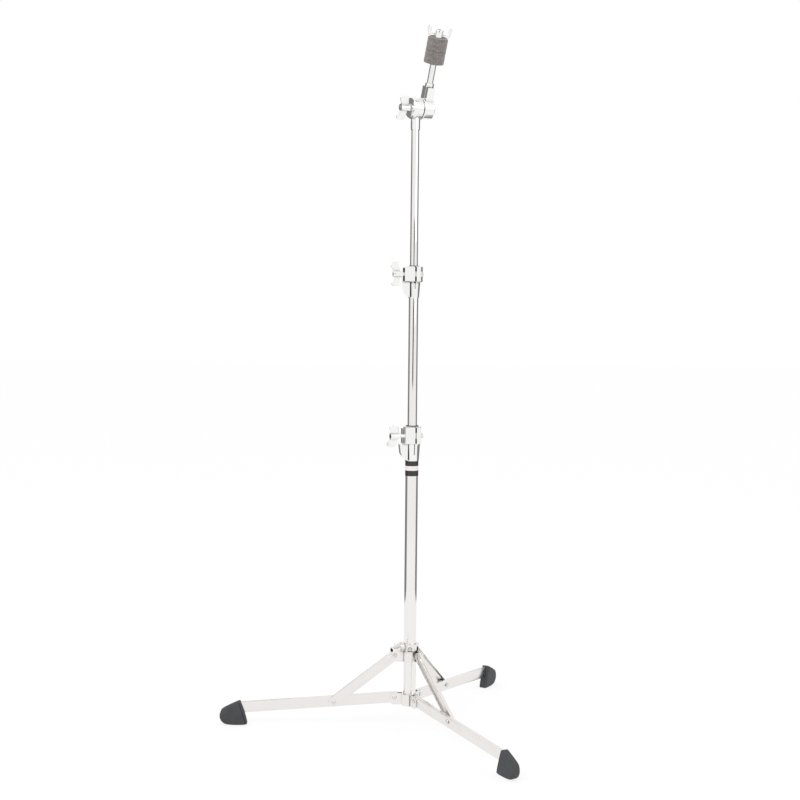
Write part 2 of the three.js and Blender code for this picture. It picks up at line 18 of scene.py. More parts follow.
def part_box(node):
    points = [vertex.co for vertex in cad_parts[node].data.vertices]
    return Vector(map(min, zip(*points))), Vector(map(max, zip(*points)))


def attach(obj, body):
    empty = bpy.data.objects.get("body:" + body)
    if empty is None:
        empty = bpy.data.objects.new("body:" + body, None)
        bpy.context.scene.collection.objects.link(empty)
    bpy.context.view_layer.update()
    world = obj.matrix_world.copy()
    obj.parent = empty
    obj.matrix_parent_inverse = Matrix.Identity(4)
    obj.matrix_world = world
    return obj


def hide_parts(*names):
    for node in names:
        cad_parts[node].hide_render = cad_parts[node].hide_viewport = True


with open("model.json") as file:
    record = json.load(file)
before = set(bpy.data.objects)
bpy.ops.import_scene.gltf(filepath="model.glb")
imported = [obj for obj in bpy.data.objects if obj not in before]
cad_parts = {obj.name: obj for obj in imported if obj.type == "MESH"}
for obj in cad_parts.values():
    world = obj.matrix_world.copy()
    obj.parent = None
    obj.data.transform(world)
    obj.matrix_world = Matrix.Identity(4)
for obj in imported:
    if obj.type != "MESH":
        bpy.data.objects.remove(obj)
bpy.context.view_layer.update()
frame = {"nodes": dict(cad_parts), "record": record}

MM = 0.001
nodes = frame["nodes"]

# %% [markdown]
# ## The camera
# The stand was photographed from a little above its middle, nearly square on.
# A camera can be set by eye, or worked out from points whose real places are
# known. It was worked out here: the place, three small turns and the focal
# length below put the tubes, joints and feet where the photograph has them.

# %% Camera
SENSOR = 36
MAST = np.array([91.1369, 1.5, 0.0])
camera_place = MAST + np.array([-47.8, -2870.3, 874.6])
camera_yaw, camera_pitch, camera_roll = 0.008, 0.074, 0.010
focal_share = 1445.5 / 800


def look(yaw, pitch, roll):
    """Right, up and backward of a camera that faces +Y, turned right, dipped, then rolled."""
    ahead = np.array([math.sin(yaw) * math.cos(pitch), math.cos(yaw) * math.cos(pitch),
                      -math.sin(pitch)])
    level = np.array([math.cos(yaw), -math.sin(yaw), 0.0])
    above = np.cross(level, ahead)
    right = level * math.cos(roll) + above * math.sin(roll)
    up = above * math.cos(roll) - level * math.sin(roll)
    return right, up, -ahead


lens_data = bpy.data.cameras.new("camera")
lens_data.sensor_width = SENSOR
lens_data.lens = SENSOR * focal_share
lens_data.clip_end = 60
camera = bpy.data.objects.new("camera", lens_data)
bpy.context.scene.collection.objects.link(camera)
axes = np.column_stack(look(camera_yaw, camera_pitch, camera_roll))
pose = np.eye(4)
pose[:3, :3] = axes
pose[:3, 3] = camera_place * MM
camera.matrix_world = Matrix(pose.tolist())
bpy.context.scene.camera = camera
print("camera lens mm:", round(lens_data.lens, 2))

# %% [markdown]
# ## Small tools for materials
# Colours are picked as hex values the way a screen shows them, but light adds up
# on a linear scale, so one function turns one into the other. A second one adds
# any node with its settings and links, which keeps each finish short to read.

# %% Colour and node helpers
def linear(code):
    """Each channel c of a hex colour becomes c/12.92, or above 0.04 ((c+0.055)/1.055)^2.4."""
    parts = [int(code[i:i + 2], 16) / 255 for i in (1, 3, 5)]
    return tuple(c / 12.92 if c <= 0.04045 else ((c + 0.055) / 1.055) ** 2.4
                 for c in parts) + (1.0,)


def per(size_mm):
    """Pattern scale for features of that size in millimetres, on coordinates in metres."""
    return 1 / (size_mm * MM)


def add(tree, kind, inputs=None, **settings):
    """Adds a node, sets its properties, then fills or links its inputs by name or number."""
    node = tree.nodes.new("ShaderNode" + kind)
    for name, value in settings.items():
        setattr(node, name, value)
    for name, value in (inputs or {}).items():
        if isinstance(value, bpy.types.NodeSocket):
            tree.links.new(value, node.inputs[name])
        else:
            node.inputs[name].default_value = value
    return node


def blank(name):
    """A new material with an empty tree and its object coordinates."""
    material = bpy.data.materials.new(name)
    material.use_nodes = True
    tree = material.node_tree
    tree.nodes.clear()
    return material, tree, add(tree, "TexCoord").outputs["Object"]


print("white in linear light:", linear("#ffffff")[:3])

# %% [markdown]
# ## Chrome plate
# Real chrome is a thin bright layer over nickel, so it copies whatever it is
# polished on. Drawn tube is almost a mirror, pressed sheet keeps a faint ripple
# from the press, and a casting keeps a slight orange peel. Corners and slots get
# painted shade: an ambient occlusion node that looks at the piece alone finds its
# recesses and turns the colour darker there. One function makes all of them, and
# only the numbers change.

# %% Chrome finishes
MARKS_MM = 35


def chrome_plate(name, code, dull, low, high, ripple_mm, ripple_depth_mm,
                 stretch=(1, 1, 1), recess_mm=6, closed=0.45, clear=0.92):
    """Roughness drifts from low to high with handling marks, and a noise of ripple_mm
    tilts the surface. The colour is painted shade in recesses: it runs from code to dull
    as the share of the view within recess_mm that the piece itself leaves open falls
    from clear to closed."""
    material, tree, place = blank(name)
    # Painted shade: the colour darkens in the piece's own recesses, where shade would fall.
    open_view = add(tree, "AmbientOcclusion", {"Distance": recess_mm * MM},
                    samples=8, only_local=True)
    recess_shade_share = add(tree, "MapRange", {"Value": open_view.outputs["AO"],
                                    "From Min": closed, "From Max": clear})
    shade = add(tree, "Mix", {"Factor": recess_shade_share.outputs[0], 6: linear(dull), 7: linear(code)},
                data_type="RGBA")
    marks = add(tree, "TexNoise", {"Vector": place, "Scale": per(MARKS_MM), "Detail": 4.0})
    rough = add(tree, "MapRange", {"Value": marks.outputs["Fac"], "From Min": 0.35, "From Max": 0.7,
                                   "To Min": low, "To Max": high})
    drawn = add(tree, "Mapping", {"Vector": place, "Scale": stretch})
    ripple = add(tree, "TexNoise", {"Vector": drawn.outputs[0], "Scale": per(ripple_mm),
                                    "Detail": 2.0})
    bump = add(tree, "Bump", {"Height": ripple.outputs["Fac"],
                              "Distance": ripple_depth_mm * MM, "Strength": 0.6})
    metal = add(tree, "BsdfPrincipled", {
        "Base Color": shade.outputs[2], "Metallic": 1.0,
        "Roughness": rough.outputs[0], "Normal": bump.outputs[0]})
    add(tree, "OutputMaterial", {"Surface": metal.outputs[0]})
    return material


# The second colour of each finish is the painted shade in its recesses.
finishes = {
    # Bright nickel and chrome on drawn steel tube: long, very shallow ripples along the tube.
    "tube_chrome": chrome_plate("chrome_on_drawn_tube", "#eeecea", "#a8a6a4",
                                0.05, 0.11, 9, 0.01, (1, 1, 0.1)),
    # Chrome on pressed strip steel: softer, because the strip isn't polished first.
    "sheet_chrome": chrome_plate("chrome_on_pressed_sheet", "#ebe8e5", "#d6d2ce",
                                 0.16, 0.28, 7, 0.04),
    # The same on the collar, with a much darker painted shade in its deep slots.
    "collar_chrome": chrome_plate("chrome_on_slotted_collar", "#ebe8e5", "#716e6b",
                                  0.14, 0.24, 7, 0.02, recess_mm=7, closed=0.5, clear=0.97),
    # Chrome on rivets, nuts and bolts: turned and tumbled.
    "rivet_chrome": chrome_plate("chrome_on_turned_steel", "#dcdad8", "#8a8683",
                                 0.12, 0.2, 2, 0.01),
    # Chrome on zinc die castings: a faint orange peel.
    "cast_chrome": chrome_plate("chrome_on_zinc_casting", "#f3f3f1", "#5e5b59",
                                0.06, 0.13, 5, 0.008),
}
print("chrome finishes:", sorted(finishes))

# %% [markdown]
# ## Rubber and nylon
# The feet are moulded rubber: dark grey rather than black, dull, with a fine
# grain from the mould. Bushings are moulded nylon, smoother and a little shiny.
# Both are one recipe: a slow drift between two shades, and a grain for the bump.
# A mould's grain is usually finer than the 1 mm or so here, but wouldn't show.

# %% Moulded finishes
DRIFT_MM = 18


def moulded(name, dark, pale, rough, grain_mm, grain_depth_mm):
    """Colour drifts between two shades; a fine noise of grain_mm gives the mould's texture."""
    material, tree, place = blank(name)
    drift = add(tree, "TexNoise", {"Vector": place, "Scale": per(DRIFT_MM), "Detail": 5.0})
    shade = add(tree, "Mix", {"Factor": drift.outputs["Fac"], 6: linear(dark), 7: linear(pale)},
                data_type="RGBA")
    grain = add(tree, "TexNoise", {"Vector": place, "Scale": per(grain_mm), "Detail": 3.0})
    bump = add(tree, "Bump", {"Height": grain.outputs["Fac"],
                              "Distance": grain_depth_mm * MM, "Strength": 0.5})
    skin = add(tree, "BsdfPrincipled", {
        "Base Color": shade.outputs[2], "Roughness": rough, "Normal": bump.outputs[0]})
    add(tree, "OutputMaterial", {"Surface": skin.outputs[0]})
    return material


# Natural rubber filled with carbon black: dull, with a powdery bloom.
finishes["foot_rubber"] = moulded("moulded_rubber", "#2e2f31", "#434446", 0.62, 0.9, 0.12)
# Nylon, black and dark grey: smoother than rubber.
finishes["black_plastic"] = moulded("black_nylon", "#141416", "#1e1e20", 0.38, 1.2, 0.03)
finishes["grey_plastic"] = moulded("grey_nylon", "#3f4043", "#505155", 0.45, 1.2, 0.03)
print("moulded finishes added:", len(finishes))

# %% [markdown]
# ## The band
# A band of printed film is wrapped round the top of the lower tube. It could be an
# image, but plain stripes need only the height: a colour ramp with hard steps
# gives each stripe its own share of the band.

# %% Printed film
DARK_INK, PALE_INK = "#2c2728", "#e6dcdb"
PALE_START, PALE_END = 0.36, 0.67
WEAR_MM = 4
band_low, band_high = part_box("printed_band")


def printed_film():
    """Height within the band, as a share, picks one of three flat stripes."""
    material, tree, place = blank("printed_film")
    height = add(tree, "SeparateXYZ", {0: place}).outputs[2]
    share = add(tree, "MapRange", {"Value": height, "From Min": float(band_low[2]),
                                   "From Max": float(band_high[2])})
    stripes = add(tree, "ValToRGB", {"Fac": share.outputs[0]})
    stripes.color_ramp.interpolation = "CONSTANT"
    stops = stripes.color_ramp.elements
    stops[0].position, stops[0].color = 0.0, linear(DARK_INK)
    stops[1].position, stops[1].color = PALE_START, linear(PALE_INK)
    stops.new(PALE_END).color = linear(DARK_INK)
    wear = add(tree, "TexNoise", {"Vector": place, "Scale": per(WEAR_MM), "Detail": 3.0})
    rough = add(tree, "MapRange", {"Value": wear.outputs["Fac"], "To Min": 0.22, "To Max": 0.42})
    film = add(tree, "BsdfPrincipled", {"Base Color": stripes.outputs[0],
                                        "Roughness": rough.outputs[0]})
    add(tree, "OutputMaterial", {"Surface": film.outputs[0]})
    return material


finishes["printed_film"] = printed_film()
print("band height mm:", round((band_high[2] - band_low[2]) / MM, 1))

# %% [markdown]
# ## Felt
# Pressed wool has no threads, only a tangle. Two noises of different size are
# multiplied, so pale fibres sit in darker clumps, and a little sheen softens the
# edges where fibres catch the light.

# %% Wool felt
# A wool fibre is a few hundredths of a millimetre thick, too fine to show, so tufts of
# 1 mm stand for the fibres.
FIBRE_MM, CLUMP_MM, NAP_MM = 1.0, 5, 0.8


def wool_felt():
    """Two noises, of fibres and of clumps, mottle the colour, and the fibres lift the surface."""
    material, tree, place = blank("pressed_wool_felt")
    clumps = add(tree, "TexNoise", {"Vector": place, "Scale": per(CLUMP_MM), "Detail": 4.0})
    fibres = add(tree, "TexNoise", {"Vector": place, "Scale": per(FIBRE_MM), "Detail": 8.0,
                                    "Distortion": 1.2})
    mottle = add(tree, "Math", {0: clumps.outputs["Fac"], 1: fibres.outputs["Fac"]},
                 operation="MULTIPLY")
    share = add(tree, "MapRange", {"Value": mottle.outputs[0], "From Min": 0.12, "From Max": 0.42})
    shade = add(tree, "Mix", {"Factor": share.outputs[0],
                              6: linear("#605b58"), 7: linear("#928c88")}, data_type="RGBA")
    bump = add(tree, "Bump", {"Height": fibres.outputs["Fac"], "Distance": NAP_MM * MM,
                              "Strength": 0.9})
    wool = add(tree, "BsdfPrincipled", {
        "Base Color": shade.outputs[2], "Roughness": 0.95, "Sheen Weight": 0.35,
        "Sheen Roughness": 0.5, "Normal": bump.outputs[0]})
    add(tree, "OutputMaterial", {"Surface": wool.outputs[0]})
    return material


finishes["felt"] = wool_felt()
print("finishes in all:", len(finishes))

# %% [markdown]
# ## Dressing the parts that keep their mesh
# A frame part is a set of flat triangles. Real castings and pressings have
# slightly rounded edges, and those edges catch the light. Its mesh isn't touched:
# a Weld joins the triangles, a narrow Bevel rounds the sharp edges, and the faces
# shade smoothly in between.

# %% Finish the frame's own parts
SHARP = math.radians(35)
WELD_M = 0.00001
EDGE_MM, THIN_EDGE_MM = 0.3, 0.12
slot_of = {row["node"]: row["material_slot"] for row in frame["record"]["subparts"]}


def dress(node):
    """Assigns the finish, welds, and rounds the sharp edges, more finely on thin sheet."""
    finish = "collar_chrome" if node == "brace_collar" else slot_of[node]
    thin = node[:-2] in ("leg", "brace")
    part = nodes[node]
    if not part.material_slots:
        part.data.materials.append(None)
    for slot in part.material_slots:
        slot.material = finishes[finish]
    if "custom_normal" in part.data.attributes:
        part.data.attributes.remove(part.data.attributes["custom_normal"])
    part.data.polygons.foreach_set("use_smooth", np.ones(len(part.data.polygons), bool))
    weld = part.modifiers.new("weld", "WELD")
    weld.merge_threshold = WELD_M
    bevel = part.modifiers.new("edges", "BEVEL")
    bevel.width = (THIN_EDGE_MM if thin else EDGE_MM) * MM
    bevel.segments = 2
    bevel.limit_method = "ANGLE"
    bevel.angle_limit = SHARP
    bevel.harden_normals = not thin
    if thin:
        split = part.modifiers.new("corners", "EDGE_SPLIT")
        split.split_angle = SHARP


for name in nodes:
    dress(name)
print("dressed:", len(nodes))

# %% [markdown]
# ## Surfaces from a grid
# A tube, a felt and a rubber foot are all a sheet of points with two directions,
# joined into faces. The points are worked out as whole arrays, so a shape is one
# formula. Rows that shrink to a point are merged, which closes the surface.

# %% Grid helper
SAME_PLACE_M = 0.000001
SMOOTH_BELOW = math.radians(38)


def surface(name, shells, body, slot, replaced):
    """Each shell is points[row, column] and how its rows end: "ring" joins the last row to
    the first, "flat" puts one face on each end, and "point" leaves ends that already meet
    in a point."""
    places, faces, start = [], [], 0
    for points, ends in shells:
        rows, columns, _ = points.shape
        index = np.arange(rows * columns).reshape(rows, columns) + start
        below = index if ends == "ring" else index[:-1]
        above = np.roll(index, -1, axis=0) if ends == "ring" else index[1:]
        quads = np.stack([below, np.roll(below, -1, 1), np.roll(above, -1, 1), above], axis=-1)
        places.append(points.reshape(-1, 3))
        faces += quads.reshape(-1, 4).tolist()
        if ends == "flat":
            faces += [index[0][::-1].tolist(), index[-1].tolist()]
        start += rows * columns
    mesh = bpy.data.meshes.new(name)
    mesh.from_pydata((np.concatenate(places) * MM).tolist(), [], faces)
    work = bmesh.new()
    work.from_mesh(mesh)
    bmesh.ops.remove_doubles(work, verts=work.verts, dist=SAME_PLACE_M)
    bmesh.ops.recalc_face_normals(work, faces=work.faces)
    work.to_mesh(mesh)
    work.free()
    mesh.polygons.foreach_set("use_smooth", np.ones(len(mesh.polygons), bool))
    mesh.set_sharp_from_angle(angle=SMOOTH_BELOW)
    mesh.materials.append(finishes[slot])
    piece = bpy.data.objects.new(name, mesh)
    bpy.context.scene.collection.objects.link(piece)
    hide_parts(*replaced)
    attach(piece, body)
    return piece


def revolved(profile, sides):
    """Point (row, column) is (r cos t, r sin t, z): r and z come from the profile, and t
    makes one turn over the columns."""
    radius, height = np.array(profile, float).T
    turn = np.linspace(0, 2 * np.pi, sides, endpoint=False)
    return np.stack([np.outer(radius, np.cos(turn)), np.outer(radius, np.sin(turn)),
                     np.repeat(height[:, None], sides, 1)], axis=-1)


def fillet(centre, radius, start, end, steps=5):
    """Corners of an arc, in degrees, for a rounded edge in a profile."""
    angle = np.radians(np.linspace(start, end, steps))
    return [(centre[0] + radius * math.cos(a), centre[1] + radius * math.sin(a)) for a in angle]


def turn_z(points, degrees):
    """Turns points about the upright axis."""
    c, s = math.cos(math.radians(degrees)), math.sin(math.radians(degrees))
    return points @ np.array([[c, s, 0], [-s, c, 0], [0, 0, 1]])


def turn_x(points, degrees):
    """Turns points about the X axis."""
    c, s = math.cos(math.radians(degrees)), math.sin(math.radians(degrees))
    return points @ np.array([[1, 0, 0], [0, c, s], [0, -s, c]])


def laid(points, azimuth, roll):
    """Rolls points about their own axis, lays that axis level, and turns it to an azimuth."""
    rolled = turn_z(points, roll)
    level = rolled @ np.array([[0, 0, -1], [0, 1, 0], [1, 0, 0]])
    return turn_z(level, azimuth)


print("ring check:", revolved([(1, 0), (2, 0), (2, 1)], 8).shape)

# %% [markdown]
# ## Mast tubes
# The three tubes are drawn steel, cut square and deburred. The frame gives them
# flat sides, which a mirror finish would show at once, so each is turned again
# with many more sides and a rounded lip at both ends.

# %% Tubes
LIP = 0.4
FINE_SIDES = 96
LOWER_RADIUS = 12.7


def mast_tube(node, radius, wall, body):
    """A wall between two radii, with a quarter-round of LIP at each of the four edges."""
    low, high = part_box(node)
    bottom, top = low[2] / MM, high[2] / MM
    inner = radius - wall
    profile = (fillet((radius - LIP, bottom + LIP), LIP, -90, 0)
               + fillet((radius - LIP, top - LIP), LIP, 0, 90)
               + fillet((inner + LIP, top - LIP), LIP, 90, 180)
               + fillet((inner + LIP, bottom + LIP), LIP, 180, 270))
    surface("drawn_" + node, [(revolved(profile, FINE_SIDES) + MAST, "ring")],
            body, "tube_chrome", [node])
    print(node, "from", round(bottom, 1), "to", round(top, 1), "mm")


mast_tube("lower_tube", LOWER_RADIUS, 1.2, "mast")
mast_tube("middle_tube", 9.525, 1.0, "middle")
mast_tube("top_tube", 7.95, 1.0, "top")

# %% [markdown]
# ## Rubber feet
# Each foot is a flat boot pushed over the end of a leg: a rounded shape seen from
# the side, with softened edges across its width. The outline is smoothed by
# cutting its corners again and again, then carried across the width and drawn in
# along a quarter-round at each side.

# %% Boots
def smoothed(outline, rounds):
    """Corner cutting: each side gives two points, at a quarter and three quarters of it."""
    points = np.array(outline, float)
    for _ in range(rounds):
        after = np.roll(points, -1, axis=0)
        points = np.stack([0.75 * points + 0.25 * after,
                           0.25 * points + 0.75 * after], 1).reshape(-1, 2)
    return points


def slab(outline, low, high, soft):
    """The outline at each depth: it moves inwards by soft (1 - cos a) as the depth
    follows soft sin a."""
    along = np.roll(outline, -1, 0) - np.roll(outline, 1, 0)
    inward = np.stack([-along[:, 1], along[:, 0]], 1) / np.linalg.norm(along, axis=1)[:, None]
    angles = np.radians(np.linspace(-90, 90, 11))
    depth = np.where(angles < 0, low + soft, high - soft) + soft * np.sin(angles)
    rings = outline[None] + inward[None] * (soft * (1 - np.cos(angles)))[:, None, None]
    return np.concatenate([rings, np.repeat(depth[:, None, None], len(outline), 1)], axis=2)


foot_radius, boot_reach, boot_height = 355, 28.6, 48.8
boot_near, boot_far, boot_soft = -5, 11, 3.2
boot_shares = [(-0.91, 0), (0.49, 0), (0.84, 0.13), (0.97, 0.27), (1, 0.41), (0.94, 0.55),
               (0.8, 0.68), (-0.31, 0.99), (-0.42, 1), (-0.51, 0.97), (-0.98, 0.1)]
boot_outline = smoothed([(foot_radius + boot_reach * a, boot_height * b)
                         for a, b in boot_shares], 3)
legs = {"a": ("leg_one", 180), "b": ("leg_two", -60), "c": ("leg_three", 60)}
for letter, (body, azimuth) in legs.items():
    drawn = slab(boot_outline, boot_near, boot_far, boot_soft)
    upright = np.stack([drawn[..., 0], -drawn[..., 2], drawn[..., 1]], axis=-1)
    boot = surface("rubber_boot_" + letter, [(turn_z(upright, azimuth) + MAST, "flat")],
                   body, "foot_rubber", ["foot_" + letter])
    print(boot.name, "faces:", len(boot.data.polygons))

# %% [markdown]
# ## Felts
# Two felt washers hold the cymbal. Wool felt is pressed, so it is never quite
# round and its edges are blunt. The washer is a closed ring whose outer radius
# wanders by a few tenths of a millimetre, made from sine waves of fixed phase, so
# that every run gives the same felt.

# %% Felt washers
TILT_HEIGHT, TILT_TURN, ROD_LEAN, ROD_OFFSET = 1236, 29, 20, 21.5
FELT_RADIUS, FELT_HEIGHT, FELT_SEAT, SLEEVE = 20, 24.7, 90, 5.9
GAP, WANDER_ROOM = 0.3, 0.2
BLUNT, CRISP = 1.8, 0.4


def on_rod(points):
    """From the rod's own line to the standing head: moved out, tipped, turned and lifted."""
    moved = points + np.array([ROD_OFFSET, 0, 0])
    return turn_z(turn_x(moved, ROD_LEAN), TILT_TURN) + MAST + np.array([0, 0, TILT_HEIGHT])


def felt_ring(bottom, phase, low_edge, top_edge):
    """A ring with rounded outer edges. Its outer radius gains 0.15 sin(3t + phase)
    and 0.1 sin(7t + 0.6z + phase)."""
    inner, outer, top = SLEEVE + GAP, FELT_RADIUS - WANDER_ROOM, bottom + FELT_HEIGHT
    walls = [(outer, z) for z in np.linspace(bottom + low_edge, top - top_edge, 7)[1:-1]]
    faces_up = [(r, top) for r in np.linspace(outer - top_edge, inner, 5)[1:]]
    faces_down = [(r, bottom) for r in np.linspace(inner, outer - low_edge, 5)[:-1]]
    profile = (fillet((outer - low_edge, bottom + low_edge), low_edge, -90, 0, 7) + walls
               + fillet((outer - top_edge, top - top_edge), top_edge, 0, 90, 7)
               + faces_up + faces_down)
    points = revolved(profile, FINE_SIDES)
    turn = np.arctan2(points[..., 1], points[..., 0])
    reach = np.hypot(points[..., 0], points[..., 1])
    wander = 0.15 * np.sin(3 * turn + phase) + 0.1 * np.sin(7 * turn + 0.6 * points[..., 2] + phase)
    grow = 1 + wander * np.clip((reach - inner) / (outer - inner), 0, 1) / outer
    points[..., :2] *= grow[..., None]
    return points


for node, bottom, phase, low_edge, top_edge in (
        ("lower_felt", FELT_SEAT, 0.4, BLUNT, CRISP),
        ("upper_felt", FELT_SEAT + FELT_HEIGHT + GAP, 0.9, CRISP, BLUNT)):
    ring = on_rod(felt_ring(bottom, phase, low_edge, top_edge))
    felt = surface("wool_" + node, [(ring, "ring")], "head", "felt", [node])
    print(felt.name, "faces:", len(felt.data.polygons))

# %% [markdown]
# ## Wing screws
# Every clamp is tightened by hand on two cast wings, and a hand would feel any
# sharp edge on them. The frame's flat shape has such edges, so each wing is its
# outline carried across its thickness with round edges, the hub is turned from a
# profile, and both are laid on the screw's own line.

# %% Wings
wing_shares = [(0.14, 0.12), (0.32, 0.12), (0.56, 0.17), (0.8, 0.21), (0.94, 0.29), (1, 0.46),
               (1, 0.75), (0.92, 0.94), (0.76, 1), (0.52, 0.92), (0.32, 0.8), (0.14, 0.75)]
cymbal_wing_shares = [(0.25, 0.06), (0.78, 0.06), (0.87, 0.2), (1, 0.84), (0.96, 1),
                      (0.8, 1), (0.7, 0.84), (0.62, 0.42), (0.5, 0.32), (0.25, 0.38)]
WING_REACH, WING_RISE, WING_SHEET, WING_SOFT = 25, 24, 3.2, 1.2
HUB_BASE, HUB_OUTER, HUB_LENGTH, HUB_SOFT = 5.8, 6.6, 19.5, 0.8
HOLLOW, HOLLOW_DEPTH = 4, 5
SHANK, NECK, BORE = 3, 3.6, 4.3
ROUND_SIDES = 48


def wing_pair(shares, reach, rise, lift):
    """Two opposite wings standing in the XZ plane, lifted along the screw."""
    outline = smoothed([(reach * a, rise * b) for a, b in shares], 2)
    drawn = slab(outline, -WING_SHEET / 2, WING_SHEET / 2, WING_SOFT)
    right = np.stack([drawn[..., 0], -drawn[..., 2], drawn[..., 1] + lift], axis=-1)
    return [(right, "flat"), (turn_z(right, 180), "flat")]


def screw_core(shank, neck):
    """Shank, neck and hub of a wing screw, with the hollow in the outer end of its hub."""
    end = neck + HUB_LENGTH
    return revolved([(0, -shank), (SHANK, -shank), (SHANK, 0), (NECK, 0), (NECK, neck),
                     (HUB_BASE, neck)]
                    + fillet((HUB_OUTER - HUB_SOFT, end - HUB_SOFT), HUB_SOFT, 0, 90)
                    + [(HOLLOW, end), (HOLLOW, end - HOLLOW_DEPTH), (0, end - HOLLOW_DEPTH)],
                    ROUND_SIDES)


def wing_piece(name, node, body, shells, move):
    """Moves every shell of a wing screw onto its place and makes one piece of them."""
    placed = [(move(points), ends) for points, ends in shells]
    piece = surface(name, placed, body, "cast_chrome", [node])
    print(name, "faces:", len(piece.data.polygons))


CLAMP_SEAT, BOLT_LINE, CLAMP_SHANK = 22.3, -18, 39


def clamp_screw(turn, height, roll):
    """A clamp's screw: laid to the left, shifted to its bolt line, turned with the clamp."""
    def move(points):
        level = laid(points + [0, 0, CLAMP_SEAT], 180, roll)
        return turn_z(level + [0, BOLT_LINE, 0], turn) + MAST + [0, 0, height]
    return move


for node, body, neck, turn, height, roll in (
        ("lower_clamp_wing_bolt", "lower_wing", 10, 18, 592.5, -25),
        ("upper_clamp_wing_bolt", "upper_wing", 3, 9, 911.5, 15)):
    shells = ([(screw_core(CLAMP_SHANK, neck), "point")]
              + wing_pair(wing_shares, WING_REACH, WING_RISE, neck))
    wing_piece("cast_" + node, node, body, shells, clamp_screw(turn, height, roll))

collar_height, collar_turn, collar_roll = 163.925, 222, -40
boss_seat, screw_gap, screw_neck = 29.3, 0.6, 0.5
collar_shells = ([(screw_core(boss_seat - LOWER_RADIUS - screw_gap, screw_neck), "point")]
                 + wing_pair(wing_shares, WING_REACH, WING_RISE, screw_neck))


def on_collar(points):
    """The collar's screw: laid along its boss, at the boss's height."""
    return laid(points + [0, 0, boss_seat], collar_turn, collar_roll) + MAST + [0, 0, collar_height]


wing_piece("cast_collar_wing_screw", "collar_wing_screw", "collar_screw",
           collar_shells, on_collar)

socket_face, washer_sheet, nut_foot, nut_waist, tilter_roll = 12.6, 1.6, 7, 3, -25
tilter_seat = socket_face + GAP + washer_sheet + GAP
nut_core = revolved([(BORE, 0), (nut_foot, 0), (HUB_BASE, nut_waist), (HUB_OUTER, HUB_LENGTH),
                     (BORE, HUB_LENGTH)], ROUND_SIDES)


def on_tilter(points):
    """The tilter's nut: laid to the left, against the washer, and turned with the tilter."""
    level = laid(points + [0, 0, tilter_seat], 180, tilter_roll)
    return turn_z(level, TILT_TURN) + MAST + [0, 0, TILT_HEIGHT]


wing_piece("cast_tilter_wing_nut", "tilter_wing_nut", "tilter_wing",
           [(nut_core, "ring")] + wing_pair(wing_shares, WING_REACH, WING_RISE, 0), on_tilter)

top_foot, top_soft, top_height, top_seat = 7.6, 1.0, 15, 140
top_reach, top_rise = 24, 21
top_core = revolved([(BORE, 0), (top_foot, 0)]
                    + fillet((top_foot - top_soft, top_height - top_soft), top_soft, 0, 90)
                    + [(BORE, top_height)], ROUND_SIDES)
wing_piece("cast_cymbal_wing_nut", "cymbal_wing_nut", "cymbal_wing",
           [(top_core, "ring")] + wing_pair(cymbal_wing_shares, top_reach, top_rise, 0),
           lambda points: on_rod(turn_z(points, -TILT_TURN) + [0, 0, top_seat]))

# %% [markdown]
# ## Floor and light
# Chrome shows its surroundings more than itself, so the room matters more than
# the lamps. The room is white. Product photographers stand dark cards, called
# flags, beside bright metal to draw its edges: two here stand behind the stand on
# either side, and a third stands by the camera and gives a tube the thin line
# down its middle. Only mirror reflections see the flags. The floor comes first:
# it is white paper, which glows a little for the camera and in reflections so
# that it stays white, and still takes the stand's soft shadow.

# %% Floor
FLOOR_HALF_M, FLOOR_GLOW = 15, 0.8


def seen_directly(tree):
    """1 along a ray from the camera, a mirror or glass, and 0 for light off a matt surface."""
    path = add(tree, "LightPath")
    bright = add(tree, "Math", {0: path.outputs["Is Camera Ray"],
                                1: path.outputs["Is Glossy Ray"]}, operation="MAXIMUM")
    every = add(tree, "Math", {0: bright.outputs[0],
                               1: path.outputs["Is Transmission Ray"]}, operation="MAXIMUM")
    return every.outputs[0]


floor_mesh = bpy.data.meshes.new("floor")
corners = [(x * FLOOR_HALF_M, y * FLOOR_HALF_M, 0) for x, y in ((-1, -1), (1, -1), (1, 1), (-1, 1))]
floor_mesh.from_pydata(corners, [], [(0, 1, 2, 3)])
floor = bpy.data.objects.new("floor", floor_mesh)
bpy.context.scene.collection.objects.link(floor)
floor_finish, tree, _ = blank("pale_floor")
paint = add(tree, "BsdfDiffuse", {"Color": linear("#ffffff")})
glow = add(tree, "Emission", {"Color": linear("#ffffff"), "Strength": 1.0})
part_glow = add(tree, "Math", {0: seen_directly(tree), 1: FLOOR_GLOW}, operation="MULTIPLY")
paper = add(tree, "MixShader", {0: part_glow.outputs[0], 1: paint.outputs[0],
                                2: glow.outputs[0]})
add(tree, "OutputMaterial", {"Surface": paper.outputs[0]})
floor_mesh.materials.append(floor_finish)
print("floor:", tuple(round(v) for v in floor.dimensions[:2]), "m")

# %% [markdown]
# ## The room
# The world is a plain white room. It could be a photograph of a studio, but a
# plain colour lights the stand evenly, and the flags then draw the edges.

# %% Room
ROOM_FILL = 0.96
room = bpy.data.worlds.new("white_room")
bpy.context.scene.world = room
room.use_nodes = True
tree = room.node_tree
tree.nodes.clear()
shown = add(tree, "Mix", {"Factor": seen_directly(tree), 6: (*[ROOM_FILL] * 3, 1),
                          7: (1, 1, 1, 1)}, data_type="RGBA")
back = add(tree, "Background", {"Color": shown.outputs[2], "Strength": 1.0})
add(tree, "OutputWorld", {"Surface": back.outputs[0]})
print("room:", room.name)

# %% [markdown]
# ## Flags
# A tube turns each strip of its surroundings into a line along itself, so one
# flat card is enough for each dark edge. They end above the floor, as they would
# on stands, and so the lowest part of the mast stays pale. Each is slatted like a
# blind: it looks dark along a level or falling ray and lets a steeply rising one
# through, so it draws the upright tubes and leaves the slanting braces pale.

# %% Flags
SLATS_SHUT, SLATS_OPEN = -0.2, -0.3


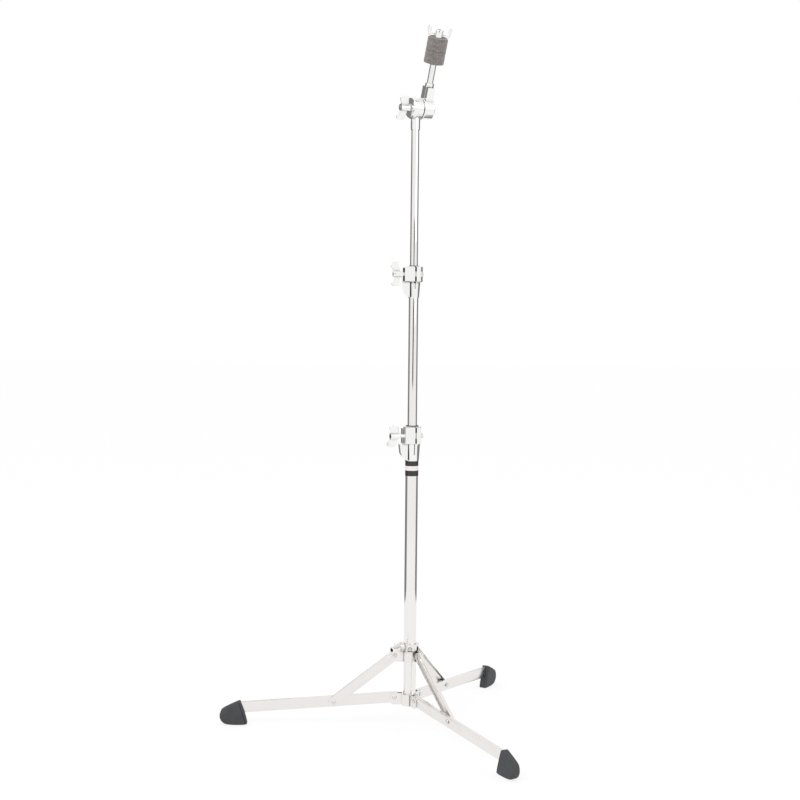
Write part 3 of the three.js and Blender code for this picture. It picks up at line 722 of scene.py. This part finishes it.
def flag(name, start, end, distance_m, low, high, code):
    """An upright card between two directions, in degrees from the camera's side towards +X.
    Its slats open as a ray that meets it rises more steeply. The camera doesn't see it, so
    Incoming is the way back to the metal that mirrors it, and never the way to the camera."""
    edge = [np.array([math.sin(a), -math.cos(a)]) * distance_m
            for a in (math.radians(start), math.radians(end))]
    corners = [(e[0] + MAST[0] * MM, e[1], z) for e, z in
               ((edge[0], low), (edge[1], low), (edge[1], high), (edge[0], high))]
    mesh = bpy.data.meshes.new(name)
    mesh.from_pydata(corners, [], [(0, 1, 2, 3)])
    finish, tree, _ = blank(name)
    dark = add(tree, "Emission", {"Color": linear(code), "Strength": 1.0})
    way_back = add(tree, "NewGeometry").outputs["Incoming"]
    fall = add(tree, "SeparateXYZ", {0: way_back}).outputs[2]
    between = add(tree, "MapRange", {"Value": fall, "From Min": SLATS_SHUT,
                                     "From Max": SLATS_OPEN})
    gap = add(tree, "BsdfTransparent")
    slats = add(tree, "MixShader", {0: between.outputs[0], 1: dark.outputs[0],
                                    2: gap.outputs[0]})
    add(tree, "OutputMaterial", {"Surface": slats.outputs[0]})
    mesh.materials.append(finish)
    card = bpy.data.objects.new(name, mesh)
    bpy.context.scene.collection.objects.link(card)
    card.visible_camera = card.visible_diffuse = False
    card.visible_shadow = card.visible_transmission = False
    print(name, "from", start, "to", end, "degrees")


side_flag = {"distance_m": 0.8, "low": 0.105, "high": 1.6, "code": "#858585"}
flag("left_flag", -82, -156, **side_flag)
flag("right_flag", 89, 158, **side_flag)
flag("camera_flag", -12, 12, distance_m=2.6, low=0.66, high=1.3, code="#2a2a2a")

# %% [markdown]
# ## Lamps
# Two large soft lamps stand in front, the stronger one to the left. They are weak,
# because the white room gives most of the light: they only shape rubber and felt.

# %% Lamps
LIT_POINT = Vector((0.09, 0, 0.7))
for name, place_m, size, watts in (("key", (-1.6, -2.2, 2.8), 1.4, 22),
                                   ("fill", (2.2, -1.8, 2.0), 1.8, 9)):
    lamp = bpy.data.lights.new(name, "AREA")
    lamp.size, lamp.energy = size, watts
    lit_from = bpy.data.objects.new(name, lamp)
    bpy.context.scene.collection.objects.link(lit_from)
    lit_from.location = place_m
    aim = LIT_POINT - lit_from.location
    lit_from.rotation_euler = aim.to_track_quat("-Z", "Y").to_euler()
    print(name, "lamp at", place_m)

bpy.context.scene.view_settings.view_transform = "Standard"

# %% [markdown]
# ## Reflections of reflections
# Inside a chrome channel light bounces many times before it comes out, a little
# weaker each time. Blender follows four mirror bounces unless it is told
# otherwise, which leaves the deepest corners too dark, so both limits are raised.

# %% Bounces
bpy.context.scene.cycles.glossy_bounces = 16
bpy.context.scene.cycles.max_bounces = 24
print("mirror bounces:", bpy.context.scene.cycles.glossy_bounces)
